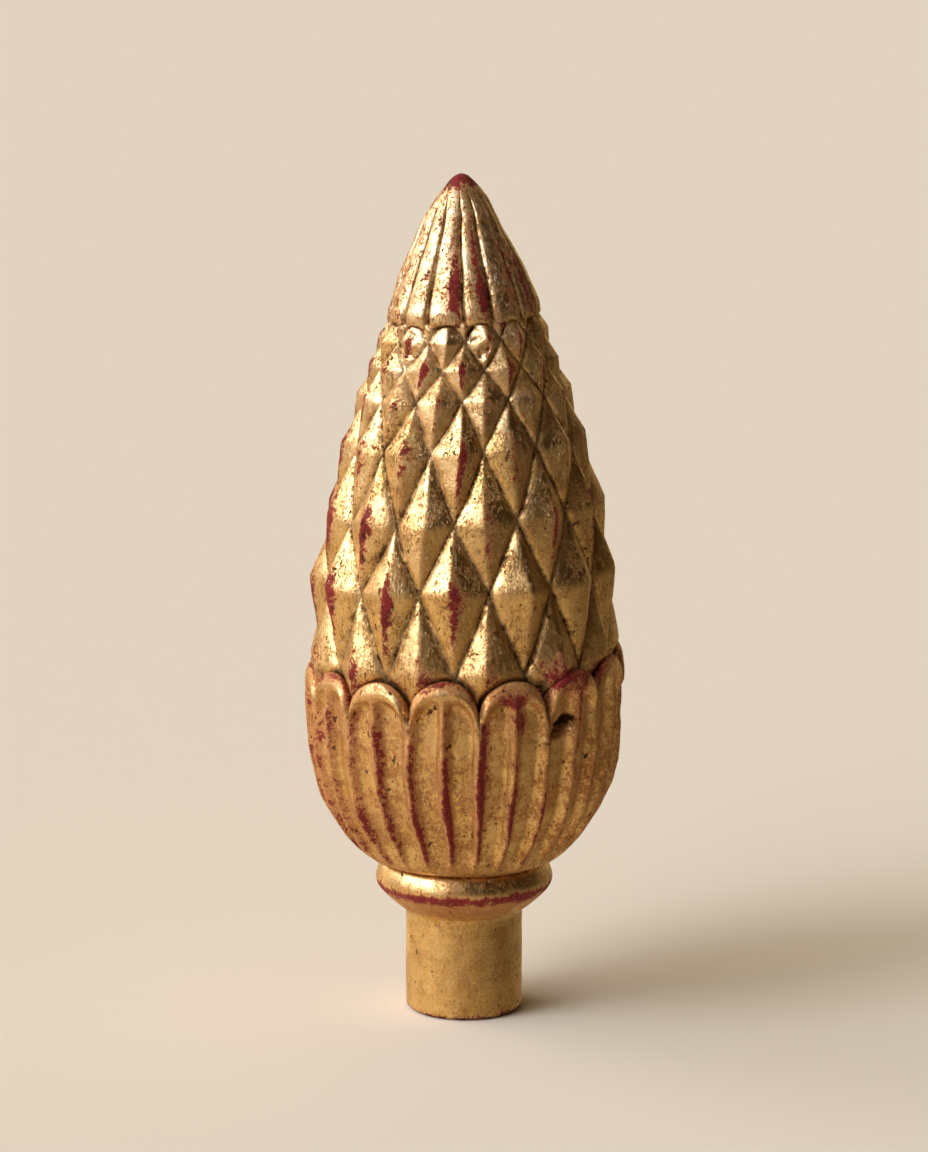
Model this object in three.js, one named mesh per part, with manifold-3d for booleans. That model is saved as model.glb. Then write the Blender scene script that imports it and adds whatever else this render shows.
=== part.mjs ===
// A pine cone finial, carved from one block of wood, then gessoed and gilded. Millimetres, +Z up.
// A round spigot stands on z = 0 and carries a turned collar, a cup of fluted petals, a cone of pointed
// scales and a ribbed cap. The origin is the middle of the spigot's end. Angles are in degrees round +Z:
// 0 faces -Y, the front, and 90 faces +X. The setting-out lines rise a little towards +X, as on the old one.
import * as THREE from "three";
import { mergeVertices } from "three/addons/utils/BufferGeometryUtils.js";
import Module from "manifold-3d";

// The spigot's end is eased by two cuts; easing is how far the middle corner stands in and up.
const spigot = { radius: 16.3, top: 28.6, bevel: 1.5, easing: { inwards: 0.45, upwards: 0.6 } };

// The collar's outline, from the spigot up to the root of the cup.
const collar = {
  segments: 56,
  foot: { r: 16.9, z: 29.2 },
  underside: { r: 22.8, z: 34.2 },
  rimBelow: { r: 24.75, z: 36.6 },
  rim: { r: 24.85, z: 37.7 },
  rimAbove: { r: 24.65, z: 39.1 },
  top: { r: 23.3, z: 42.3 },
  neck: { r: 21.7, z: 43 },
  rootHeight: 4,
};

// Fourteen petals, each with two flutes between three ribs, under a round lip that stands off the cone.
// The flutes' full depth starts between two shares of the lip's height below the petals' edge.
const cup = {
  petals: 14,
  notchAngle: 5.5,
  notchHeight: 91.8,
  archHeight: 9.6,
  slant: 2,
  flutesPerPetal: 2,
  fluteDepth: 1.9,
  fluteSquareness: 0.4,
  fluteSteps: [0, 0.2, 0.5, 0.8],
  fluteStart: [0.35, 1.5],
  footHeight: 14,
  lip: 5.2,
  lipRounding: 1.3,
  lipThickness: 4.6,
  innerEdgeDrop: 0.8,
  bodyRings: 11,
  ringCrowding: 1.35,
  floorDrop: 5,
  insideTop: 84,
  profile: [
    { z: 43.4, r: 22.6 },
    { z: 45.9, r: 28.5 },
    { z: 48.7, r: 31.6 },
    { z: 52, r: 34.3 },
    { z: 58.6, r: 38.5 },
    { z: 65.1, r: 41.2 },
    { z: 71.6, r: 42.9 },
    { z: 78.2, r: 44 },
    { z: 92, r: 44.6 },
    { z: 104, r: 44.4 },
  ],
};

// Thirteen scales to a row, each a four-sided point. A row's z is where its scales touch side by side,
// peak is the radius at the tips, and phase turns the row. The first and last rows are out of sight.
const cone = {
  scales: 13,
  slant: 3.2,
  reliefShare: 0.088,
  tipRise: 0.06,
  stepsPerHalfScale: 2,
  poleBelow: 10,
  poleAbove: 6,
  rows: [
    { z: 78.6, peak: 41, phase: 11.4 },
    { z: 101.5, peak: 44, phase: 10.3 },
    { z: 124.4, peak: 42.7, phase: 9.5 },
    { z: 143, peak: 38.4, phase: 9.6 },
    { z: 161.6, peak: 33.9, phase: 10.7 },
    { z: 174.5, peak: 29.5, phase: 12.3 },
    { z: 183.2, peak: 26.2, phase: 12.9 },
    { z: 190.8, peak: 23.2, phase: 13.7 },
    { z: 198, peak: 19.2, phase: 14.4 },
  ],
};

// Fourteen ribs that meet in a blunt tip, with scalloped ends over the top row of scales.
const cap = {
  ribs: 14,
  grooveAngle: 0.3,
  edgeHeight: 192.8,
  scallopHeight: 2,
  edgeThickness: 5,
  slant: 2,
  grooveShare: 0.09,
  tipLean: -1.1,
  columnsPerRib: 6,
  profile: [
    { z: 190, r: 22.1 },
    { z: 197, r: 21.3 },
    { z: 202, r: 19.7 },
    { z: 207, r: 17.7 },
    { z: 212, r: 15.3 },
    { z: 217, r: 12.8 },
    { z: 222, r: 10 },
    { z: 226.6, r: 7 },
    { z: 229.8, r: 4.7 },
    { z: 232.2, r: 2.8 },
  ],
  tip: 233.6,
  poleBelow: 6,
};

// Points of two pieces of a skin that lie closer than this are the same point.
const mergeDistance = 0.001;

const wasm = await Module();
wasm.setup();

const { degToRad, lerp, smoothstep } = THREE.MathUtils;

// A point at a radius, an angle in degrees and a height.
function around(radius, angle, z) {
  const a = degToRad(angle);
  return new THREE.Vector3(radius * Math.sin(a), -radius * Math.cos(a), z);
}

// How much higher a sloping setting-out line is at this radius and angle than at the front.
function rise(slant, radius, angle) {
  return Math.tan(degToRad(slant)) * radius * Math.sin(degToRad(angle));
}

// The radius that an outline, listed upwards, has at a height.
function radiusAt(profile, z) {
  const upper = profile.findIndex((p) => p.z > z);
  if (upper === -1) return profile.at(-1).r;
  if (upper === 0) return profile[0].r;
  const [a, b] = [profile[upper - 1], profile[upper]];
  return lerp(a.r, b.r, (z - a.z) / (b.z - a.z));
}

// A closed surface of rings between two poles on the axis. place(column, ring) gives a ring's points, and
// leans(column, ring) says that a face's diagonal climbs with the angle.
function skin(columns, rings, place, poles, leans = () => true) {
  const points = [poles.low];
  for (let ring = 0; ring < rings; ring++)
    for (let column = 0; column < columns; column++) points.push(place(column, ring));
  points.push(poles.high);
  const at = (column, ring) => 1 + ring * columns + (column % columns);
  const faces = [];
  for (let column = 0; column < columns; column++) {
    faces.push(0, at(column + 1, 0), at(column, 0));
    for (let ring = 0; ring < rings - 1; ring++) {
      const [a, b] = [at(column, ring), at(column + 1, ring)];
      const [c, d] = [at(column + 1, ring + 1), at(column, ring + 1)];
      faces.push(...(leans(column, ring) ? [a, b, c, a, c, d] : [a, b, d, b, c, d]));
    }
    faces.push(points.length - 1, at(column, rings - 1), at(column + 1, rings - 1));
  }
  return new THREE.BufferGeometry().setFromPoints(points).setIndex(faces);
}

// Rings of pointed scales. The grooves between scales run along the faces' diagonals.
function scaleCone() {
  const { rows, scales, stepsPerHalfScale: steps } = cone;
  const columns = 2 * scales * steps;
  const rings = (rows.length - 1) * steps + 1;
  const leans = (column, ring) => {
    const halfScale = Math.floor(column / steps) + Math.floor(ring / steps);
    return halfScale % 2 === 0;
  };
  const place = (column, ring) => {
    const row = Math.min(Math.floor(ring / steps), rows.length - 2);
    const share = ring / steps - row;
    const [low, high] = [rows[row], rows[row + 1]];
    const across = column / steps;
    // Tips and side corners alternate along a row, and are swapped in the next one.
    const fromLowTip = Math.abs(((across + row) % 2) - 1);
    const lowTip = Math.max(0, 1 - fromLowTip - share);
    const highTip = Math.max(0, fromLowTip + share - 1);
    const peak = lerp(low.peak, high.peak, share);
    const radius = peak * (1 - cone.reliefShare * (1 - lowTip - highTip));
    const angle = lerp(low.phase, high.phase, share) + (across * 180) / scales;
    const lift = cone.tipRise * (high.z - low.z) * (lowTip + highTip);
    return around(radius, angle, lerp(low.z, high.z, share) + lift + rise(cone.slant, radius, angle));
  };
  const poles = {
    low: new THREE.Vector3(0, 0, rows[0].z - cone.poleBelow),
    high: new THREE.Vector3(0, 0, rows.at(-1).z + cone.poleAbove),
  };
  return skin(columns, rings, place, poles, leans);
}

// The cup's rings bend with the petals' arches, and crowd together towards the lip.
function petalCup() {
  const steps = cup.fluteSteps;
  const flutes = cup.flutesPerPetal * cup.petals;
  const columns = flutes * steps.length;
  const bottom = cup.profile[0].z;
  const place = (column, ring) => {
    const acrossFlute = steps[column % steps.length];
    const flute = Math.floor(column / steps.length) + acrossFlute;
    const angle = (flute * 360) / flutes + cup.notchAngle;
    const acrossPetal = (2 * (flute % cup.flutesPerPetal)) / cup.flutesPerPetal - 1;
    const arch = cup.notchHeight + cup.archHeight * Math.sqrt(1 - acrossPetal ** 2);
    if (ring > cup.bodyRings) {
      const inner = radiusAt(cup.profile, arch) - cup.lipThickness;
      return around(inner, angle, arch - cup.innerEdgeDrop + rise(cup.slant, inner, angle));
    }
    const share = Math.min(1, ring / cup.bodyRings);
    const z = lerp(bottom, arch, 1 - (1 - share) ** cup.ringCrowding);
    const belowArch = arch - z;
    const [from, to] = cup.fluteStart;
    const underLip = smoothstep(belowArch, cup.lip * from, cup.lip * to);
    const aboveFoot = smoothstep(z, bottom, bottom + cup.footHeight);
    const hollow = Math.sin(Math.PI * acrossFlute) ** cup.fluteSquareness * underLip * aboveFoot;
    const edge = cup.lipRounding * (1 - smoothstep(belowArch, 0, cup.lip)) ** 2;
    const radius = radiusAt(cup.profile, z) - cup.fluteDepth * hollow - edge;
    return around(radius, angle, z + rise(cup.slant, radius, angle) * share);
  };
  const poles = {
    low: new THREE.Vector3(0, 0, bottom - cup.floorDrop),
    high: new THREE.Vector3(0, 0, cup.insideTop),
  };
  return skin(columns, cup.bodyRings + 2, place, poles);
}

function ribbedCap() {
  const columns = cap.ribs * cap.columnsPerRib;
  const rings = cap.profile.length + 1;
  const place = (column, ring) => {
    const angle = (column * 360) / columns + cap.grooveAngle;
    const acrossRib = Math.abs(2 * ((column / cap.columnsPerRib) % 1) - 1);
    const scallop = cap.scallopHeight * (1 - acrossRib ** 2);
    const level = cap.profile[Math.max(0, ring - 1)];
    const edge = cap.edgeHeight + scallop + rise(cap.slant, level.r, angle);
    const z = ring < 2 ? edge : Math.max(level.z, edge);
    const swell = 1 - cap.grooveShare * acrossRib ** 2;
    const radius = ring === 0 ? level.r - cap.edgeThickness : radiusAt(cap.profile, z) * swell;
    const lean = cap.tipLean * smoothstep(z, cap.edgeHeight, cap.tip);
    return around(radius, angle, z).add(new THREE.Vector3(lean, 0, 0));
  };
  const poles = {
    low: new THREE.Vector3(0, 0, cap.edgeHeight - cap.poleBelow),
    high: new THREE.Vector3(cap.tipLean, 0, cap.tip),
  };
  return skin(columns, rings, place, poles);
}

// The spigot and collar, turned about the axis.
function turnedBase() {
  const { radius, top, bevel, easing } = spigot;
  const outline = [
    { r: 0, z: 0 },
    { r: radius - bevel, z: 0 },
    { r: radius - easing.inwards, z: easing.upwards },
    { r: radius, z: bevel },
    { r: radius, z: top },
    collar.foot,
    collar.underside,
    collar.rimBelow,
    collar.rim,
    collar.rimAbove,
    collar.top,
    collar.neck,
    { r: 0, z: collar.neck.z + collar.rootHeight },
  ];
  const points = outline.map((p) => new THREE.Vector2(p.r, p.z));
  return new THREE.LatheGeometry(points, collar.segments).rotateX(Math.PI / 2);
}

// A closed mesh as a solid that can be joined to others.
function solidOf(geometry) {
  const bare = geometry.clone();
  bare.deleteAttribute("normal");
  bare.deleteAttribute("uv");
  const merged = mergeVertices(bare, mergeDistance);
  const mesh = new wasm.Mesh({
    numProp: 3,
    vertProperties: new Float32Array(merged.attributes.position.array),
    triVerts: new Uint32Array(merged.index.array),
  });
  return new wasm.Manifold(mesh);
}

function geometryOf(solid) {
  const mesh = solid.getMesh();
  const geometry = new THREE.BufferGeometry();
  geometry.setAttribute("position", new THREE.BufferAttribute(mesh.vertProperties, 3));
  geometry.setIndex(new THREE.BufferAttribute(mesh.triVerts, 1));
  const flat = geometry.toNonIndexed();
  flat.computeVertexNormals();
  return flat;
}

const wornGilding = new THREE.MeshStandardMaterial({
  color: new THREE.Color(0.72, 0.49, 0.19),
  roughness: 0.4,
  metalness: 0.85,
});

const carving = [turnedBase(), petalCup(), scaleCone(), ribbedCap()]
  .map(solidOf)
  .reduce((whole, part) => whole.add(part));

const finial = new THREE.Mesh(geometryOf(carving), wornGilding);
finial.name = "pine_cone_finial";

const group = new THREE.Group();
group.add(finial);

export default group;
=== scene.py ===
# A pine cone finial of carved wood, water gilded over red bole, rubbed on its ridges and dark in its
# grooves with dirt and painted shade. The blank is turned like a chair leg, one ring of points after
# another, and a Geometry Nodes tree carves it. Lengths are in millimetres, except where a line says metres,
# and angles in degrees.
import math
from types import SimpleNamespace

import bpy
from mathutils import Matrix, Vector


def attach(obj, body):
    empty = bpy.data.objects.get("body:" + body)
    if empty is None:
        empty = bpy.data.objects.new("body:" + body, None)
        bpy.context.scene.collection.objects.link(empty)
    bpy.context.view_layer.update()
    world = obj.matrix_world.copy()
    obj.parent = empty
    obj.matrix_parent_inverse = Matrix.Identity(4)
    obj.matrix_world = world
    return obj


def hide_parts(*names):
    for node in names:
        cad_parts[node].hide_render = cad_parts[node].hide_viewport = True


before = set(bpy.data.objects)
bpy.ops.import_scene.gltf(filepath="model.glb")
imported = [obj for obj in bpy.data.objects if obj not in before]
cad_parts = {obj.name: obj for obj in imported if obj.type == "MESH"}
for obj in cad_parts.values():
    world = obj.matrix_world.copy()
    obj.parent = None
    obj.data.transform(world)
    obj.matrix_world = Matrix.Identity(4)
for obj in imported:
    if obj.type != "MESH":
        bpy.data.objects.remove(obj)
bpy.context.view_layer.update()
print("frame loaded")

perMetre = 1000


class Wire:  # a node's output that can be written in sums
    def __init__(self, graph, socket):
        self.graph, self.socket = graph, socket

    def __add__(self, other):
        return mathNode("ADD", self, other)

    def __sub__(self, other):
        return mathNode("SUBTRACT", self, other)

    def __rsub__(self, other):
        return mathNode("SUBTRACT", other, self)

    def __mul__(self, other):
        return mathNode("MULTIPLY", self, other)

    def __truediv__(self, other):
        return mathNode("DIVIDE", self, other)

    def __mod__(self, other):
        return mathNode("FLOORED_MODULO", self, other)

    def __pow__(self, other):
        return mathNode("POWER", self, other)

    def __abs__(self):
        return mathNode("ABSOLUTE", self)

    def __gt__(self, other):
        return mathNode("GREATER_THAN", self, other)

    __radd__ = __add__
    __rmul__ = __mul__


class Graph:  # builds one node tree
    def __init__(self, tree):
        self.tree = tree

    def node(self, kind, settings=None, inputs=None, output=0):
        made = self.tree.nodes.new(kind)
        for name, value in (settings or {}).items():
            setattr(made, name, value)
        sockets = [socket for socket in made.inputs if socket.enabled]
        for name, value in (inputs or {}).items():
            if isinstance(name, int):
                socket = sockets[name]
            else:
                socket = next(socket for socket in sockets if socket.name == name)
            if isinstance(value, Wire):
                self.tree.links.new(value.socket, socket)
            else:
                socket.default_value = value
        outputs = [socket for socket in made.outputs if socket.enabled]
        if not outputs:
            return made
        return Wire(self, outputs[output] if isinstance(output, int) else made.outputs[output])


def mathNode(operation, *values):
    graph = next(value.graph for value in values if isinstance(value, Wire))
    return graph.node("ShaderNodeMath", {"operation": operation}, dict(enumerate(values)))


def vectorMath(operation, value, other, output=0):
    inputs = {0: value, 1: other}
    return value.graph.node("ShaderNodeVectorMath", {"operation": operation}, inputs, output)


def smooth(value, low, high):  # 0 at low and 1 at high, an S curve between; low may be the larger
    ends = {"Value": value, "From Min": low, "From Max": high}
    return value.graph.node("ShaderNodeMapRange", {"interpolation_type": "SMOOTHSTEP"}, ends)


def bell(value, centre, width):  # 1 at the centre, falling to nearly nothing two widths away
    offset = (value - centre) / width
    return mathNode("EXPONENT", offset * offset * -1)


def most(first, *others):
    for other in others:
        first = mathNode("MAXIMUM", first, other)
    return first


def least(value, other):
    return mathNode("MINIMUM", value, other)


def whole(value):
    return mathNode("FLOOR", value)


def between(low, high, share):
    return low + (high - low) * share


def weighed(values, shares):  # named values, each times its share, added up
    return sum(values[name] * share for name, share in shares.items())


def radians(degrees):
    return degrees * math.pi / 180


def turnedFrom(angle, centre):  # degrees to the right of a centre, whatever turn the angle is in
    return (angle - (centre - 180)) % 360 - 180


def chance(number, output=0):  # random from 0 to 1, and always the same for the same number
    settings = {"noise_dimensions": "1D"}
    return number.graph.node("ShaderNodeTexWhiteNoise", settings, {"W": number}, output)


def parts(vector):
    graph = vector.graph
    return [graph.node("ShaderNodeSeparateXYZ", {}, {"Vector": vector}, axis) for axis in "XYZ"]


def scaled(value, factor):
    inputs = {"Vector": value, "Scale": factor}
    return value.graph.node("ShaderNodeVectorMath", {"operation": "SCALE"}, inputs)


def noise(place, size, detail, roughness=0.5, output="Fac"):  # size is one blotch, in place's units
    inputs = {"Vector": place, "Scale": 1 / size, "Detail": detail, "Roughness": roughness}
    return place.graph.node("ShaderNodeTexNoise", {}, inputs, output)


def mixed(low, high, share):  # a colour between two
    inputs = {"Factor": share, "A": low, "B": high}
    return share.graph.node("ShaderNodeMix", {"data_type": "RGBA"}, inputs)


# Camera

view = {
    "distance": 1000,
    "pitch": 10.5,  # how far the camera looks down
    "aim": 123,  # height of the point it looks at
    "sensor": 36,
    "lens": 113.1,
    "clip": (0.05, 100),  # metres
}


def makeCamera():
    data = bpy.data.cameras.new("camera")
    data.sensor_fit = "AUTO"
    data.sensor_width = view["sensor"]
    data.lens = view["lens"]
    data.clip_start, data.clip_end = view["clip"]
    camera = bpy.data.objects.new("camera", data)
    pitch = math.radians(view["pitch"])
    back = view["distance"] / perMetre
    height = view["aim"] / perMetre + back * math.sin(pitch)
    camera.location = (0, -back * math.cos(pitch), height)
    camera.rotation_euler = (math.pi / 2 - pitch, 0, 0)
    bpy.context.collection.objects.link(camera)
    bpy.context.scene.camera = camera


makeCamera()
print("camera set")

# The turned blank

blank = {
    "columns": 364,  # points in a ring: 14 to half a scale and 13 to a flute
    "base": [  # spigot and collar: radius, height
        (14.6, 0), (15.5, 0.3), (16.1, 0.9), (16.3, 1.8), (16.35, 8), (16.3, 16), (16.25, 24),
        (16.3, 27.6), (16.5, 28.6), (17.2, 29.3), (18.6, 30.4), (20.7, 32.2), (22.6, 34),
        (23.9, 35.4), (24.6, 36.6), (24.85, 37.8), (24.7, 39), (24.2, 40.4), (23.7, 41.6),
        (23.3, 42.4), (22.7, 42.9), (21.9, 43.1),
    ],
    "cup": [  # from the neck to where the petals part
        (22.4, 43.1), (24.2, 43.5), (26.3, 44.4), (28.4, 45.8), (30.2, 47.4), (32.1, 49.4),
        (34.3, 52), (36.5, 55.4), (38.5, 58.8), (40, 62), (41.2, 65.3), (42.9, 71.8),
        (43.9, 78.2), (44.4, 85),
    ],
    "lip": [  # up the outside of the petals, over their edge and down inside
        (44.45, 86), (44.6, 92), (44.5, 100), (43.9, 100.3), (42.6, 100.2), (41.4, 99),
        (40, 94), (38.4, 87),
    ],
    "cap": [  # from under its edge to the tip
        (18.6, 196.4), (19.7, 193.6), (20.6, 193), (21.05, 193.4), (21.2, 194.4), (20.95, 197.5),
        (19.6, 202), (17.6, 207), (15.2, 212), (12.8, 217), (10.2, 222), (7.3, 226.6),
        (4.9, 229.8), (3.4, 231.6), (1.9, 233), (0.7, 233.5),
    ],
    "tip": 0.1,  # how far the last point stands above the last ring
    "spacing": {"base": 1.7, "cup": 1.0, "lip": 0.95, "cap": 1.0},  # between rings
    "lipTop": 100,  # heights that the petals' and the cap's edges are carved from
    "cupStraight": 85,
    "capEdge": 193,
    "capStraight": 202,
    "marks": ("angle", "part", "follow", "row", "turn"),  # what each point knows about itself
}

cone = {
    "scales": 13,
    "firstRow": 0.36,  # where the scales come out from behind the petals
    "lastRow": 7.55,  # and where they go under the cap
    "stepsPerRow": 14,
    "rows": [  # height of the side corners, radius at the tips, turn
        (78.6, 41.6, 11.4), (101.5, 44, 10.3), (124.4, 42.7, 9.5), (143, 38.4, 9.6),
        (161.6, 33.9, 10.7), (174.5, 29.5, 12.3), (183.2, 26.2, 12.9), (190.8, 23.2, 13.7),
        (198, 20.6, 14.4),
    ],
}

partNumbers = {"base": 0, "cup": 1, "cone": 2, "cap": 3}


def walk(outline, spacing):  # points along an outline, corners kept, about a spacing apart
    made = [outline[0]]
    for low, high in zip(outline, outline[1:]):
        steps = max(1, round(math.dist(low, high) / spacing))
        for step in range(1, steps + 1):
            made.append(tuple(between(a, b, step / steps) for a, b in zip(low, high)))
    return made


def coneRings():  # radius, height, row and turn of each ring of the cone
    steps = cone["stepsPerRow"]
    first, last = round(cone["firstRow"] * steps), round(cone["lastRow"] * steps)
    for step in range(first, last + 1):
        row, share = divmod(step / steps, 1)
        low, high = cone["rows"][int(row)], cone["rows"][int(row) + 1]
        height, radius, turn = (between(a, b, share) for a, b in zip(low, high))
        yield radius, height, step / steps, turn


def followed(height, straight, edge):  # 0 where a ring stays level and 1 where it takes the edge's wave
    return min(1, max(0, (height - straight) / (edge - straight)))


def blankRings():  # every ring from the spigot to the tip, with what the carving needs to know about it
    gap = blank["spacing"]
    column = 360 / blank["columns"]
    cupTurn = carving["Petal Notch Angle"] % column  # so that ribs lie on rows of points
    capTurn = carving["Cap Groove Angle"] % column
    rings = []

    def add(part, radius, height, **more):
        rings.append({"part": partNumbers[part], "radius": radius, "height": height, **more})

    for radius, height in walk(blank["base"], gap["base"]):
        add("base", radius, height)
    for radius, height in walk(blank["cup"], gap["cup"]):
        add("cup", radius, height, turn=cupTurn)
    for radius, height in walk(blank["lip"], gap["lip"]):
        follow = followed(height, blank["cupStraight"], blank["lipTop"])
        add("cup", radius, height, follow=follow, turn=cupTurn)
    for radius, height, row, turn in coneRings():
        add("cone", radius, height, row=row, turn=turn)
    for radius, height in walk(blank["cap"], gap["cap"]):
        follow = followed(height, blank["capStraight"], blank["capEdge"])
        add("cap", radius, height, follow=follow, turn=capTurn)
    return rings


def turnBlank():
    rings = blankRings()
    columns = blank["columns"]
    halfScale = columns // (2 * cone["scales"])
    points = [(0, 0, rings[0]["height"] / perMetre)]
    angles = []
    for ring in rings:
        for column in range(columns):
            angles.append(360 * column / columns + ring.get("turn", 0))
            angle = math.radians(angles[-1])
            radius = ring["radius"] / perMetre
            height = ring["height"] / perMetre
            points.append((radius * math.sin(angle), -radius * math.cos(angle), height))
    points.append((0, 0, (rings[-1]["height"] + blank["tip"]) / perMetre))
    at = lambda column, ring: 1 + ring * columns + column % columns
    faces = []
    for column in range(columns):
        faces.append((0, at(column + 1, 0), at(column, 0)))
        for ring in range(len(rings) - 1):
            a, b = at(column, ring), at(column + 1, ring)
            c, d = at(column + 1, ring + 1), at(column, ring + 1)
            # On the cone the cut from corner to corner follows the grooves between scales.
            step = rings[ring].get("row", 0) * cone["stepsPerRow"]
            climbs = (column // halfScale + int(step + 0.5) // cone["stepsPerRow"]) % 2 == 0
            faces += [(a, b, c), (a, c, d)] if climbs else [(a, b, d), (b, c, d)]
        faces.append((len(points) - 1, at(column, len(rings) - 1), at(column + 1, len(rings) - 1)))
    mesh = bpy.data.meshes.new("blank")
    mesh.from_pydata(points, [], faces)
    owners = [rings[0]] + [ring for ring in rings for _ in range(columns)] + [rings[-1]]
    for name in blank["marks"]:
        values = [0, *angles, 0] if name == "angle" else [float(ring.get(name, 0)) for ring in owners]
        mesh.attributes.new(name, "FLOAT", "POINT").data.foreach_set("value", values)
    return mesh


# Carving

carving = {  # the tree's inputs
    "Scales": float(cone["scales"]),
    "Scale Relief": 0.092,  # share of the radius, from the tips down to the grooves
    "Scale Crown": 0.93,  # 1 for flat faces, less for faces that swell
    "Scale Tip Rise": 1.0,
    "Scale Unevenness": 1.0,  # makes the next three stronger or weaker together
    "Uneven Relief": 0.35,  # share of the relief
    "Uneven Rise": 2.4,
    "Uneven Turn": 4.5,
    "Groove Depth": 0.6,
    "Cut Beside Petals": 0.2,  # how far the scales are cut back round the petals
    "Cut Behind Petals": 4.0,
    "Petals": 14.0,
    "Petal Notch Angle": 5.5,
    "Petal Notch Height": 91.8,
    "Petal Arch": 9.6,
    "Uneven Arch": 1.4,
    "Petal Border": 3.4,
    "Flute Depth": 2.9,
    "Flute Top Arch": 3.0,
    "Slit Depth": 1.5,  # between two petals
    "Cap Ribs": 14.0,
    "Cap Groove Angle": 0.3,
    "Cap Groove Depth": 2.3,
    "Cap Unevenness": 2.8,
    "Cap Edge Height": 192.9,
    "Cap Scallop": 2.3,
    "Tip Lean": -1.1,
    "Knock Depth": 1.0,
    "Slant": 3.0,  # how far the rows rise to the right
    "Waver": 0.55,  # of the carver's hand
    "Seed": 4.0,
}

fades = {  # where a shape begins and where it is full
    "flute": (1.0, 0.5),  # across it: 1 is on a rib and 0 in the middle of a flute
    "fluteTop": (-0.6, 2.6),  # below its round top
    "fluteFoot": (43.6, 55),  # heights
    "slit": (0.15, 0.02),  # across it, as a share of half a petal
    "slitFoot": (80, 91),
    "slitTop": (-2, 0.5),
    "petalEdge": (3.6, 0),
    "scaleGroove": (0.13, 0.0),
    "cutBeside": (1.4, 0.2),  # above the petals' edges
    "cutBehind": (-0.5, -3),
    "capRibs": (231.5, 222),
    "slantFoot": (62, 98),  # heights, as are the next two
    "slantTop": (225, 192),
    "lean": (191, 233),
    "knock": (1, 0.3),  # from its rim to its floor
    # painted shade in the upper part of a knock
    "knockShade": (-0.7, 0),
    "byHand": (30, 60),  # heights
    "waver": (2, 12),
    "rubbedRidge": (0.02, 0.2),
}

hand = {  # the carver's hand wavers, and later hands rub what stands out
    "wavers": [(27, 1.5, 5), (7.5, 1, 1.4)],  # size of one wave, detail, strength
    "footWaver": 0.15,  # share that the turned foot has
    "rubbedScales": 0.8,
    "rubbedPetals": 0.05,
    "rubbing": 0.75,
}

capGroove = [(2, 0.4), (9, 0.6)]  # power and share: a broad curve and a narrow one
widest = {"cone": 44, "cap": 21}  # radii
numbersPerRow = 40  # more than the scales in a row, so that each scale has its own luck

knocks = [  # dents and chips: angle, height, half width, half height, slope, depth
    (38.5, 87, 4.8, 2.6, 0.3, 3.8),  # the gouge in a petal and the crack beside it
    (29.5, 85.2, 4.5, 0.8, 0.12, 0.6),
    (31, 97.5, 2.3, 3.2, 0, 2.2),  # the missing bit between two petals
    (5.5, 192.6, 2.3, 1.8, 0.2, 1),  # chips in the cap's edge and in the scales below it
    (-40, 192.5, 2.2, 1.2, -0.4, 0.7),
    (-52, 190, 1.6, 2, 0.3, 0.6),
    (-4, 82, 0.9, 0.9, 0, 1.1),  # small dents in the petals and the cap
    (-3, 73.5, 0.8, 1.3, 0, 1.1),
    (12, 64, 0.7, 1, 0, 0.9),
    (-24, 86, 0.7, 1.1, 0, 0.8),
    (18, 199, 1.5, 1, 0, 0.5),
    (160, 120, 2.4, 1.6, 0.5, 1.2),  # the back
    (205, 70, 2.6, 1.8, -0.3, 1.4),
    (120, 96, 2, 2.6, 0, 1.6),
    (262, 160, 2, 1.3, 0.4, 1),
    (12.5, 188.3, 2.1, 2.1, 0.5, 1.1),  # worn scales under the cap
    (-41, 188.5, 2.4, 1.8, -0.4, 0.8),
]
fullKnock = 2.4  # depth of a knock whose upper part is painted fully dark as shade


def carvingInputs(graph):  # makes the tree's sockets, and gives what comes in by name
    sockets = graph.tree.interface
    sockets.new_socket("Blank", in_out="INPUT", socket_type="NodeSocketGeometry")
    for name, value in carving.items():
        socket = sockets.new_socket(name, in_out="INPUT", socket_type="NodeSocketFloat")
        socket.default_value = value
    sockets.new_socket("Finish", in_out="INPUT", socket_type="NodeSocketMaterial")
    sockets.new_socket("Carved", in_out="OUTPUT", socket_type="NodeSocketGeometry")
    given = graph.node("NodeGroupInput").socket.node
    return {socket.name: Wire(graph, socket) for socket in given.outputs if socket.name}


def readBlank(graph):  # what the blank's points know, and which part they lie on
    point = SimpleNamespace()
    for name in blank["marks"]:
        value = graph.node("GeometryNodeInputNamedAttribute", {"data_type": "FLOAT"}, {"Name": name})
        setattr(point, name, value)
    x, y, point.height = parts(scaled(graph.node("GeometryNodeInputPosition"), perMetre))
    point.radius = (x * x + y * y) ** 0.5
    point.on = {}
    for name in ("cup", "cone", "cap"):
        point.on[name] = 1 - least(abs(point.part - partNumbers[name]), 1)
    return point


def byPart(point, base, cup, cone, cap):  # the value for the part that a point lies on
    value = between(between(base, cup, point.on["cup"]), cone, point.on["cone"])
    return between(value, cap, point.on["cap"])


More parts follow.
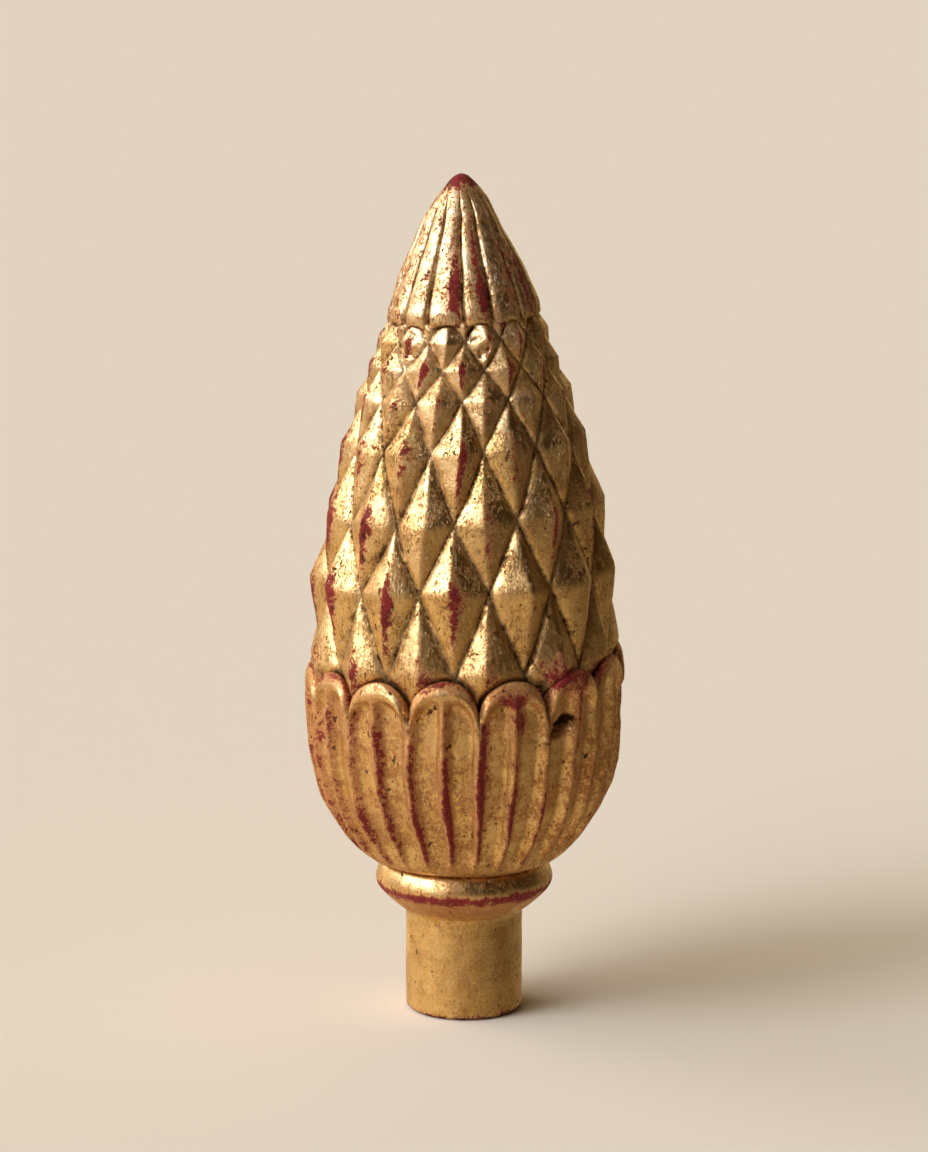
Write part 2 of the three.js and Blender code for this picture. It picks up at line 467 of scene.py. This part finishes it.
def carvePetals(point, size):  # a flute is counted from notch to rib to notch
    flute = (point.angle - size["Petal Notch Angle"]) * size["Petals"] / 180
    across = flute % 2 - 1
    fromNotch = 1 - abs(across)
    fromRib = abs(flute % 1 * 2 - 1)  # 1 on a rib and 0 in the middle of a flute
    luck = chance(whole(flute / 2) % size["Petals"] + size["Seed"])
    archHeight = size["Petal Arch"] + (luck - 0.5) * size["Uneven Arch"]
    arch = size["Petal Notch Height"] + archHeight * most(1 - across * across, 0) ** 0.5
    height = point.height + point.follow * (arch - blank["lipTop"])
    belowArch = arch - height
    fluteTop = size["Petal Border"] + size["Flute Top Arch"] * (1 - (1 - fromRib * fromRib) ** 0.5)
    hollow = smooth(fromRib, *fades["flute"]) * smooth(belowArch - fluteTop, *fades["fluteTop"])
    hollow = hollow * smooth(height, *fades["fluteFoot"])
    slit = smooth(fromNotch, *fades["slit"]) * smooth(height, *fades["slitFoot"])
    slit = slit * smooth(belowArch, *fades["slitTop"])
    edgeRound = smooth(belowArch, *fades["petalEdge"]) ** 2
    radius = point.radius - size["Flute Depth"] * hollow - slit * size["Slit Depth"]
    radius = radius - edgeRound * (point.follow > 0.5)  # only near the petals' edges
    return SimpleNamespace(radius=radius, height=height, flute=flute, luck=luck, arch=arch,
                           belowArch=belowArch, slit=slit)


def carveScales(point, size, arch):  # across and up are counted from the tip of a point's scale
    rowBelow = whole(point.row + 0.001)  # a ring that lies on a row counts as above it
    up = point.row - rowBelow
    lattice = (point.angle - point.turn) * size["Scales"] / 180 + rowBelow
    fromLowTip = lattice % 2 - 1
    isHigh = abs(fromLowTip) + up > 1
    across = between(fromLowTip, (lattice + 1) % 2 - 1, isHigh)
    along = up - isHigh
    tip = most(1 - abs(across) - abs(along), 0)
    column = whole(lattice / 2 + isHigh * 0.5) % size["Scales"]
    number = (rowBelow + isHigh) * numbersPerRow + column
    luck = [value - 0.5 for value in parts(chance(number + size["Seed"], "Color"))]
    uneven = size["Scale Unevenness"]
    bulge = tip ** size["Scale Crown"]
    overLip = point.height - arch
    cut = smooth(overLip, *fades["cutBeside"]) * size["Cut Beside Petals"]
    cut = cut + smooth(overLip, *fades["cutBehind"]) * size["Cut Behind Petals"]
    sunk = size["Scale Relief"] * (1 - bulge * (1 + luck[0] * uneven * size["Uneven Relief"]))
    radius = point.radius * (1 - sunk) - cut
    groove = smooth(tip, *fades["scaleGroove"]) * size["Groove Depth"]
    radius = radius - groove * point.radius / widest["cone"]
    rise = tip * (size["Scale Tip Rise"] + luck[1] * uneven * size["Uneven Rise"])
    height = point.height + rise * point.radius / widest["cone"]
    angle = point.angle + tip * luck[2] * uneven * size["Uneven Turn"]
    return SimpleNamespace(radius=radius, height=height, angle=angle, across=across, along=along,
                           tip=tip, luck=luck[1])


def carveCap(point, size):  # ribs between narrow grooves, with rounded ends
    halfTurns = (point.angle - size["Cap Groove Angle"]) * size["Cap Ribs"] / 360 * math.pi
    sway = size["Cap Unevenness"] * (1 - mathNode("COSINE", halfTurns)) / 2  # wide and narrow in turn
    rib = (point.angle + sway - size["Cap Groove Angle"]) * size["Cap Ribs"] / 360
    across = rib % 1 * 2 - 1
    fromCrest = abs(across)
    edge = size["Cap Edge Height"] + size["Cap Scallop"] * (1 - across * across)
    height = point.height + point.follow * (edge - blank["capEdge"])
    fade = smooth(height, *fades["capRibs"])
    groove = sum(fromCrest ** power * share for power, share in capGroove) * fade
    radius = point.radius - groove * size["Cap Groove Depth"] * point.radius / widest["cap"]
    return SimpleNamespace(radius=radius, height=height, across=across, fromCrest=fromCrest,
                           fade=fade, aboveEdge=height - edge)


def knockAbout(point, size, height, radius):  # the radius with its knocks, and the shade painted dark into the upper part of each
    dirtAndShade = 0
    for angle, middle, halfWidth, halfHeight, slope, depth in knocks:
        aside = radians(turnedFrom(point.angle, angle)) * point.radius
        above = height - middle - aside * slope
        away = aside * aside / halfWidth ** 2 + above * above / halfHeight ** 2
        bite = smooth(away, *fades["knock"])
        radius = radius - bite * depth * size["Knock Depth"]
        # the upper part of each knock is painted dark as shade
        dirtAndShade = dirtAndShade + bite * smooth(above / halfHeight, *fades["knockShade"]) * depth / fullKnock
    return radius, dirtAndShade


def placeOf(size, angle, height, radius):  # the rows slant a little, and the tip leans
    turned = radians(angle)
    east = radius * mathNode("SINE", turned)
    north = radius * mathNode("COSINE", turned) * -1
    slope = smooth(height, *fades["slantFoot"]) * smooth(height, *fades["slantTop"])
    rise = mathNode("TANGENT", radians(size["Slant"])) * east * slope
    lean = size["Tip Lean"] * smooth(height, *fades["lean"])
    inputs = {"X": east + lean, "Y": north, "Z": height + rise}
    return height.graph.node("ShaderNodeCombineXYZ", {}, inputs)


def waver(size, place, height):
    byHand = between(hand["footWaver"], 1, smooth(height, *fades["byHand"]))
    drifts = []
    for wave, detail, strength in hand["wavers"]:
        drift = vectorMath("SUBTRACT", noise(place, wave, detail, output="Color"), (0.5, 0.5, 0.5))
        amount = size["Waver"] * strength * byHand * smooth(height, *fades["waver"])
        drifts.append(scaled(drift, amount))
    return vectorMath("ADD", place, vectorMath("ADD", *drifts))


def rubRound(point, scale, place):  # ridges are rubbed round, and grooves stay sharp
    ridges = smooth(scale.tip, *fades["rubbedRidge"]) * point.on["cone"] * hand["rubbedScales"]
    soften = most(ridges, point.on["cup"] * hand["rubbedPetals"])
    inputs = {"Value": place, "Iterations": 1, "Weight": soften * hand["rubbing"]}
    return place.graph.node("GeometryNodeBlurAttribute", {"data_type": "FLOAT_VECTOR"}, inputs)


# Wear, and dirt with painted shade

wearing = {  # where hands and dusters rub the gold away: shares, and where each begins and is full
    "scaleUsual": 0.68,
    "scaleLuck": 1.2,
    "scaleMiddle": (-0.05, 0.26),  # centre and width, along the ridge
    "scaleWidth": (0.08, 0.30),  # at the ridge's ends and at its middle
    "scaleLeft": (-0.13, 0.03),
    "scaleRight": (1.9, 0.2),
    "scaleTop": (0.6, 0.0),
    "scaleBottom": (-1.1, -0.3),
    "lowScales": 0.65,  # share of the wear that the lowest scales have
    "lowScalesTo": (96, 112),
    "ribRight": (0.085, 0.11),  # centre and width; the side of a rib that faces right is rubbed most
    "ribRightWear": 0.76,
    "ribLeft": (1, 0.09),
    "ribLeftWear": 0.45,
    "ribTop": (2, 7),
    "lip": (2.2, 0.3),
    "lipUsual": 0.2,
    "lipLuck": 0.6,
    "cupLess": 0.08,
    "cupFoot": (43.5, 50),
    "capRib": (0.35, 0.45),  # centre and width
    "capRibWear": 0.36,
    "capAll": 0.05,
    "capTip": (228.2, 232),
    "collar": (36.4, 1.5),  # centre and width
    "collarWear": 1.15,
    "bottom": (2.6, 0.4),
    "bottomWear": 0.8,
    "spotReach": (4.5, 0),
    "spotWear": 0.7,
    "spots": [  # angle, height, half width, half height
        (41, 98.6, 3.4, 2.2), (48, 94, 1.8, 5), (17, 203, 1.0, 3.2), (14, 213, 0.7, 3.2),
        (50, 208, 1, 5), (-5.5, 203.5, 0.9, 6.5), (62, 206, 1, 7), (18, 96.5, 3.4, 1.6),
        (22, 90, 0.9, 3), (9, 84, 0.8, 6), (48, 78, 1, 9), (35, 103, 3, 2.5), (150, 205, 2, 8),
        (230, 210, 1.6, 7), (200, 96, 4, 2.6), (6.8, 71, 0.7, 11), (19.4, 66, 0.8, 9),
        (-6.4, 64, 0.5, 9), (-19.3, 56, 0.4, 5), (32.2, 58, 0.7, 6), (110, 72, 0.8, 12),
        (174, 68, 0.8, 11), (251, 72, 0.8, 12),
    ],
}

shadeAndSoiling = {  # where dirt stays, and where shade is painted dark into grooves, slits and undersides: shares, and where each begins and is full
    "scaleGroove": (0.17, 0.0),
    "scaleGrooveDirtAndShade": 0.8,
    "petalSlitDirtAndShade": 0.7,
    "cupFoot": (44.6, 43.4),
    "underCupShade": 0.4,
    "insideLip": (43.4, 42.4),  # radii
    "insideLipDirtAndShade": 0.7,
    "capGroove": (0.78, 1),
    "capGrooveDirtAndShade": 0.8,
    "capEdge": (1.2, 0),
    "underCapEdgeShade": 0.7,
    "neck": (43.1, 0.4),  # centre and width
    "neckDirtAndShade": 0.4,
    "bottom": (1.7, 0.3),
    "bottomDarkening": 0.8,
}

ground = {  # how thin the gold is and how coarse the gesso under it, part by part
    "thinCollar": 0.6,  # only under the collar
    "thinFrom": (29, 31),
    "thinTo": (38, 36.5),
    "thinCup": 0.42,
    "thinCone": 0.08,
    "thinCap": 0.1,
    "coarse": {"base": 0.35, "cup": 0.4, "cone": 0.8, "cap": 1.05},
}


def wearOf(point, petal, scale, cap, height):
    width = between(*wearing["scaleWidth"], bell(scale.along, *wearing["scaleMiddle"]))
    ridge = smooth(scale.across, *wearing["scaleLeft"])
    ridge = ridge * smooth(scale.across / width, *wearing["scaleRight"])
    ridge = ridge * smooth(scale.along, *wearing["scaleTop"]) * smooth(scale.along, *wearing["scaleBottom"])
    onScales = ridge * (scale.luck * wearing["scaleLuck"] + wearing["scaleUsual"])
    onScales = onScales * between(wearing["lowScales"], 1, smooth(height, *wearing["lowScalesTo"]))
    pastRib = petal.flute % 1
    onRibs = most(bell(pastRib, *wearing["ribRight"]) * wearing["ribRightWear"],
                  bell(pastRib, *wearing["ribLeft"]) * wearing["ribLeftWear"])
    onRibs = onRibs * smooth(petal.belowArch, *wearing["ribTop"])
    onLip = smooth(petal.belowArch, *wearing["lip"])
    onLip = onLip * (petal.luck * wearing["lipLuck"] + wearing["lipUsual"])
    onCup = (most(onRibs, onLip) - wearing["cupLess"]) * smooth(height, *wearing["cupFoot"])
    onCap = bell(cap.across, *wearing["capRib"]) * wearing["capRibWear"]
    onCap = onCap + smooth(height, *wearing["capTip"]) + wearing["capAll"]
    onBase = bell(height, *wearing["collar"]) * wearing["collarWear"]
    onBase = onBase + smooth(height, *wearing["bottom"]) * wearing["bottomWear"]
    wear = byPart(point, onBase, onCup, onScales, onCap)
    for angle, middle, halfWidth, halfHeight in wearing["spots"]:
        aside = turnedFrom(point.angle, angle) / (halfWidth * 180 / math.pi) * point.radius
        above = (height - middle) / halfHeight
        spot = smooth(aside * aside + above * above, *wearing["spotReach"])
        wear = wear + spot * wearing["spotWear"]
    return wear


def shadeAndDirtOf(point, petal, scale, cap, height):
    # dirt and painted shade in the grooves between scales
    onScales = smooth(scale.tip, *shadeAndSoiling["scaleGroove"]) * shadeAndSoiling["scaleGrooveDirtAndShade"]
    # dirt and painted shade in the slits between petals and inside their edges; under the cup's foot,
    # painted shade only
    insideLip = smooth(point.radius, *shadeAndSoiling["insideLip"]) * (point.follow > 0.3)  # not lower down
    onCup = most(petal.slit * shadeAndSoiling["petalSlitDirtAndShade"],
                 smooth(petal.height, *shadeAndSoiling["cupFoot"]) * shadeAndSoiling["underCupShade"],
                 insideLip * shadeAndSoiling["insideLipDirtAndShade"])
    # dirt and painted shade in the cap's grooves; painted shade only under its edge
    onCap = most(smooth(cap.fromCrest, *shadeAndSoiling["capGroove"]) * cap.fade * shadeAndSoiling["capGrooveDirtAndShade"],
                 smooth(cap.aboveEdge, *shadeAndSoiling["capEdge"]) * shadeAndSoiling["underCapEdgeShade"])
    # dirt and painted shade in the neck; the spigot's bottom end is only made darker
    onBase = most(bell(height, *shadeAndSoiling["neck"]) * shadeAndSoiling["neckDirtAndShade"],
                  smooth(height, *shadeAndSoiling["bottom"]) * shadeAndSoiling["bottomDarkening"])
    return byPart(point, onBase, onCup, onScales, onCap)


def thinOf(point, height):
    underCollar = smooth(height, *ground["thinFrom"]) * smooth(height, *ground["thinTo"])
    onBase = underCollar * ground["thinCollar"]
    return byPart(point, onBase, ground["thinCup"], ground["thinCone"], ground["thinCap"])


def carvingTree():
    tree = bpy.data.node_groups.new("carving", "GeometryNodeTree")
    graph = Graph(tree)
    size = carvingInputs(graph)
    point = readBlank(graph)
    petal = carvePetals(point, size)
    scale = carveScales(point, size, petal.arch)
    cap = carveCap(point, size)
    angle = between(point.angle, scale.angle, point.on["cone"])
    height = byPart(point, point.height, petal.height, scale.height, cap.height)
    radius = byPart(point, point.radius, petal.radius, scale.radius, cap.radius)
    radius, knockShade = knockAbout(point, size, height, radius)
    place = waver(size, placeOf(size, angle, height, radius), height)
    place = rubRound(point, scale, place)
    surface = {
        "wear": wearOf(point, petal, scale, cap, height),
        # dirt, and shade painted into recesses and knocks
        "dirtAndShade": shadeAndDirtOf(point, petal, scale, cap, height) + knockShade,
        "thin": thinOf(point, height),
        "coarse": byPart(point, **ground["coarse"]),
    }
    made = size["Blank"]  # marked before it is moved, because all of this is read from the blank's shape
    store = {"data_type": "FLOAT", "domain": "POINT"}
    for name, value in surface.items():
        inputs = {"Geometry": made, "Name": name, "Value": value}
        made = graph.node("GeometryNodeStoreNamedAttribute", store, inputs)
    inputs = {"Geometry": made, "Position": scaled(place, 1 / perMetre)}
    made = graph.node("GeometryNodeSetPosition", {}, inputs)
    made = graph.node("GeometryNodeSetShadeSmooth", {}, {"Geometry": made})
    made = graph.node("GeometryNodeRealizeInstances", {}, {"Geometry": made})
    made = graph.node("GeometryNodeSetMaterial", {}, {"Geometry": made, "Material": size["Finish"]})
    graph.node("NodeGroupOutput", {}, {"Carved": made})
    return tree


def carveFinial(finish):
    worked = bpy.data.objects.new("blank", turnBlank())
    bpy.context.collection.objects.link(worked)
    modifier = worked.modifiers.new("carving", "NODES")
    modifier.node_group = carvingTree()
    sockets = {item.name: item.identifier for item in modifier.node_group.interface.items_tree}
    for name, value in carving.items():
        modifier[sockets[name]] = value
    modifier[sockets["Finish"]] = finish
    evaluated = worked.evaluated_get(bpy.context.evaluated_depsgraph_get())
    mesh = bpy.data.meshes.new_from_object(evaluated)
    bpy.data.objects.remove(worked)
    finial = bpy.data.objects.new("carved_finial", mesh)
    bpy.context.collection.objects.link(finial)
    for name in blank["marks"]:
        mesh.attributes.remove(mesh.attributes[name])
    return finial


# Gilding

gilding = {
    "gold": (0.87, 0.60, 0.30, 1),
    "paleGold": (0.80, 0.60, 0.39, 1),  # towards the top
    "paleFrom": (130, 215),  # heights
    "freshGold": (0.92, 0.60, 0.22, 1),  # in patches, less of it towards the top
    "freshShare": 0.8,
    "freshLess": 0.3,
    "tonedGold": (0.62, 0.34, 0.12, 1),  # in blotches
    "thinGold": (0.54, 0.235, 0.088, 1),  # rubbed, so that the bole shines through
    "thinShare": 0.85,
    "bole": (0.16, 0.006, 0.009, 1),
    "paleBole": (0.30, 0.036, 0.038, 1),
    # the colour of dirt, also painted as shade in grooves, slits, knocks and under overhangs
    "grimeAndShade": (0.056, 0.018, 0.006, 1),
    "flecks": 0.7,  # how much of the bole they hide
    "thinRubbed": 0.8,  # how much sooner thin gold looks rubbed
    "patchySpecks": 0.4,
    "fineCracks": 0.8,
    "fewestCracks": 0.15,  # share of the cracks, and of the relief, where the gesso is smooth
    "leastRelief": 0.25,
    "polished": 0.22,  # roughness of the best gold
    "curlsAt": 0.52,  # the level of a pattern that a scratch runs along
    "turned": (34, 26),  # heights, below which the gold lies in fine rings
    "bump": {"Strength": 1.0, "Distance": 0.0005},  # metres
    "glaze": 0.15,  # how much the bole and the dark of dirt and painted shade shine
}

patterns = {  # size of one blotch, detail, roughness, and stretch: less than 1 draws it out
    "patches": (16, 3, 0.55, (1, 1, 1)),
    "blotches": (5, 4, 0.6, (1, 1, 1)),
    "flakes": (1.9, 6, 0.7, (1, 1, 1)),
    "grain": (0.7, 4, 0.7, (1, 1, 1)),
    "hairs": (0.75, 3, 0.6, (1, 1, 0.13)),
    "veins": (2.1, 4, 0.6, (1, 1, 0.2)),
    "fineVeins": (1.2, 3, 0.55, (1, 1, 0.3)),
    "pits": (2, 3, 0.55, (1, 1, 0.6)),
    "curls": (3.2, 2, 0.45, (1, 1, 1)),
    "rings": (0.9, 3, 0.6, (0.08, 0.08, 1)),
}

edges = {  # where a mask begins and where it is full
    "bole": (0.52, 0.58),
    "flecks": (0.57, 0.63),
    "rubbed": (0.18, 0.55),
    "grimeAndShade": (0.25, 1.0),
    "specks": (0.61, 0.66),
    "pits": (0.67, 0.7),
    "crack": (0.016, 0.004),
    "cracked": (0.43, 0.55),
    "fineCrack": (0.020, 0.006),
    "fineCracked": (0.52, 0.58),
    "scratch": (0.010, 0.003),
    "scratched": (0.5, 0.58),
    "tone": (0.5, 0.82),
    "fresh": (0.53, 0.66),
}

shares = {  # how much each thing adds
    "gone": {"wear": 0.8, "thin": 0.1, "patches": 1.1, "blotches": 0.6, "flakes": 2.2, "grain": 1.6},
    "grimeAndShade": {"dirtAndShade": 1, "blotches": 1.1, "flakes": 0.9, "grain": 0.5},
    "tone": {"blotches": 0.6, "grain": 0.7},
    "marks": {"specks": 0.5, "crack": 0.7, "pits": 0.85},
    "metal": {"bole": 0.95, "marks": 0.45, "rubbed": 0.45},  # taken away
    "roughness": {"grain": 0.14, "flakes": 0.1, "rubbed": 0.2, "marks": 0.45},
    "relief": {"flakes": 0.35, "grain": 0.2, "hairs": 0.2, "rings": 0.35, "specks": -0.4,
               "crack": -0.5, "pits": -1, "scratch": 0.3, "bole": -0.15},
}


def gildingMaterial():
    material = bpy.data.materials.new("worn_water_gilding")
    material.use_nodes = True
    material.node_tree.nodes.clear()
    graph = Graph(material.node_tree)
    place = scaled(graph.node("ShaderNodeTexCoord", {}, {}, "Object"), perMetre)
    height = parts(place)[2]
    attribute = lambda name: graph.node("ShaderNodeAttribute", {"attribute_name": name}, {}, "Fac")
    thin, coarse = attribute("thin"), attribute("coarse")
    layer = {}  # every pattern and mask by name
    for name, (size, detail, roughness, stretch) in patterns.items():
        layer[name] = noise(vectorMath("MULTIPLY", place, stretch), size, detail, roughness)
    patches, blotches, grain = layer["patches"], layer["blotches"], layer["grain"]
    # the carving's dark: dirt, with shade painted into recesses and knocks
    cause = {"wear": attribute("wear"), "dirtAndShade": attribute("dirtAndShade"), "thin": thin}
    for name in ("patches", "blotches", "flakes", "grain"):
        cause[name] = layer[name] - 0.5  # so that a pattern takes away as much as it adds

    # Bole shows where the gold is gone, and flecks of gold stay on it
    gone = weighed(cause, shares["gone"])
    bole = smooth(gone, *edges["bole"]) * (1 - smooth(grain, *edges["flecks"]) * gilding["flecks"])
    rubbed = smooth(gone + thin * gilding["thinRubbed"], *edges["rubbed"])

    # Dirt with painted shade, and what age did to the gesso: cracks run where a pattern passes its middle
    grimeAndShade = smooth(weighed(cause, shares["grimeAndShade"]), *edges["grimeAndShade"])
    specks = smooth(grain + cause["blotches"] * gilding["patchySpecks"], *edges["specks"]) * coarse
    pits = smooth(layer["pits"], *edges["pits"])
    crack = smooth(abs(layer["veins"] - 0.5), *edges["crack"]) * smooth(blotches, *edges["cracked"])
    fineCrack = smooth(abs(layer["fineVeins"] - 0.5), *edges["fineCrack"])
    fineCrack = fineCrack * smooth(patches, *edges["fineCracked"])
    crack = most(crack, fineCrack * gilding["fineCracks"]) * between(gilding["fewestCracks"], 1, coarse)
    scratch = smooth(abs(layer["curls"] - gilding["curlsAt"]), *edges["scratch"])
    scratch = scratch * smooth(patches, *edges["scratched"]) * coarse
    layer.update(bole=bole, rubbed=rubbed, specks=specks, pits=pits, crack=crack, scratch=scratch)
    # the marks take in the dirt and painted shade, besides specks, cracks and pits
    marks = most(grimeAndShade, *(layer[name] * share for name, share in shares["marks"].items()))
    layer["marks"] = marks

    upward = smooth(height, *gilding["paleFrom"])
    tone = smooth(weighed(layer, shares["tone"]), *edges["tone"])
    fresh = smooth(patches, *edges["fresh"]) * (gilding["freshShare"] - upward * gilding["freshLess"])
    colour = mixed(gilding["gold"], gilding["paleGold"], upward)
    colour = mixed(colour, gilding["tonedGold"], tone)
    colour = mixed(colour, gilding["freshGold"], fresh)
    colour = mixed(colour, gilding["thinGold"], rubbed * gilding["thinShare"])
    colour = mixed(colour, mixed(gilding["bole"], gilding["paleBole"], grain), bole)
    # dirt, painted shade and the marks of age darken the colour
    colour = mixed(colour, gilding["grimeAndShade"], marks)
    metal = 1
    for name, share in shares["metal"].items():
        metal = (1 - layer[name] * share) * metal
    roughness = gilding["polished"] + weighed(layer, shares["roughness"])

    foot = smooth(height, *gilding["turned"])  # turned, so that its gold lies in rings and not in hairs
    layer["rings"] = layer["rings"] * foot
    layer["hairs"] = layer["hairs"] * (1 - foot)
    relief = weighed(layer, shares["relief"]) * between(gilding["leastRelief"], 1, coarse)
    normal = graph.node("ShaderNodeBump", {}, {**gilding["bump"], "Height": relief})
    look = graph.node("ShaderNodeBsdfPrincipled", {}, {
        "Base Color": colour, "Metallic": metal, "Roughness": roughness, "Normal": normal,
        "Specular IOR Level": gilding["glaze"],
    })
    graph.node("ShaderNodeOutputMaterial", {}, {"Surface": look})
    return material


finial = carveFinial(gildingMaterial())
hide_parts("pine_cone_finial")
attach(finial, "root")
print("finial carved:", len(finial.data.polygons), "triangles")

# Floor and light

studio = {
    "floorColour": (0.80, 0.735, 0.65, 1),
    "floorRoughness": 0.9,
    "floorReach": 40,  # metres
    "keyFrom": (-0.80, -0.40, 0.60),
    "keyStrength": 1.3,
    "keyWidth": 28,
    "keyColour": (0.90, 1.0, 1.10),
    "boxStrength": 4.25,  # a soft box on the left
    "boxColour": (1.04, 0.98, 0.92),
    "boxSide": (-0.989, -0.148, 0),
    "boxNear": (0.32, 0.7),  # how nearly a way points at the box where it begins and where it is full
    "boxFoot": (0.14, 0.4),  # the same for heights, from -1 straight down to 1 straight up
    "boxTop": (0.9, 0.5),
    "groundColour": (1.0, 0.78, 0.44),  # and the backdrop's and the ceiling's
    "ground": 0.53,  # straight on
    "groundToRight": -0.38,
    "groundLeast": 0.03,
    "groundTop": (0.08, -0.12),
    "backdrop": 0.7,
    "backdropSide": (0.4, 0.85),
    "backdropFoot": (-0.1, 0.1),
    "ceiling": 0.6,
    "ceilingEdge": (0.85, 0.97),
    "shade": (0.024, 0.013, 0.004),  # what is not lit
    "seen": (0.77, 0.665, 0.545, 1),  # past the floor's far edge
}


def makeFloor():
    material = bpy.data.materials.new("pale_floor")
    material.use_nodes = True
    surface = material.node_tree.nodes["Principled BSDF"]
    surface.inputs["Base Color"].default_value = studio["floorColour"]
    surface.inputs["Roughness"].default_value = studio["floorRoughness"]
    surface.inputs["Specular IOR Level"].default_value = 0.0
    reach = studio["floorReach"]
    corners = [(-reach, -reach, 0), (reach, -reach, 0), (reach, reach, 0), (-reach, reach, 0)]
    mesh = bpy.data.meshes.new("floor")
    mesh.from_pydata(corners, [], [(0, 1, 2, 3)])
    mesh.materials.append(material)
    floor = bpy.data.objects.new("floor", mesh)
    floor.visible_glossy = False  # the room's own light and shade show in the gold instead
    bpy.context.collection.objects.link(floor)


def makeKey():
    sun = bpy.data.lights.new("key", "SUN")
    sun.energy = studio["keyStrength"]
    sun.angle = math.radians(studio["keyWidth"])
    sun.color = studio["keyColour"]
    lamp = bpy.data.objects.new("key", sun)
    lamp.rotation_euler = Vector(studio["keyFrom"]).to_track_quat("Z", "Y").to_euler()
    bpy.context.collection.objects.link(lamp)


def makeRoom():  # what the gold mirrors: a soft box, the floor lit on the left, and the dark room
    world = bpy.data.worlds.new("studio")
    world.use_nodes = True
    world.node_tree.nodes.clear()
    graph = Graph(world.node_tree)
    way = graph.node("ShaderNodeTexCoord", {}, {}, "Generated")
    x, y, z = parts(way)
    toBox = vectorMath("DOT_PRODUCT", way, studio["boxSide"], "Value")
    box = smooth(z, *studio["boxFoot"]) * smooth(z, *studio["boxTop"])
    box = box * smooth(toBox, *studio["boxNear"]) * studio["boxStrength"]
    floor = most(studio["ground"] + x * studio["groundToRight"], studio["groundLeast"])
    backdrop = smooth(y, *studio["backdropSide"]) * smooth(z, *studio["backdropFoot"])
    ceiling = smooth(z, *studio["ceilingEdge"]) * studio["ceiling"]
    warm = smooth(z, *studio["groundTop"]) * floor + backdrop * studio["backdrop"] + ceiling
    colour = lambda rgb: graph.node("ShaderNodeCombineXYZ", {}, dict(zip("XYZ", rgb)))
    total = colour(studio["shade"])
    for strength, tint in ((box, studio["boxColour"]), (warm, studio["groundColour"])):
        total = vectorMath("ADD", total, scaled(colour(tint), strength))
    seen = graph.node("ShaderNodeLightPath", {}, {}, "Is Camera Ray")
    shown = mixed(total, studio["seen"], seen)
    shine = graph.node("ShaderNodeBackground", {}, {"Color": shown, "Strength": 1.0})
    graph.node("ShaderNodeOutputWorld", {}, {"Surface": shine})
    bpy.context.scene.world = world


makeFloor()
makeKey()
makeRoom()
bpy.context.scene.view_settings.view_transform = "Standard"
print("studio lit")
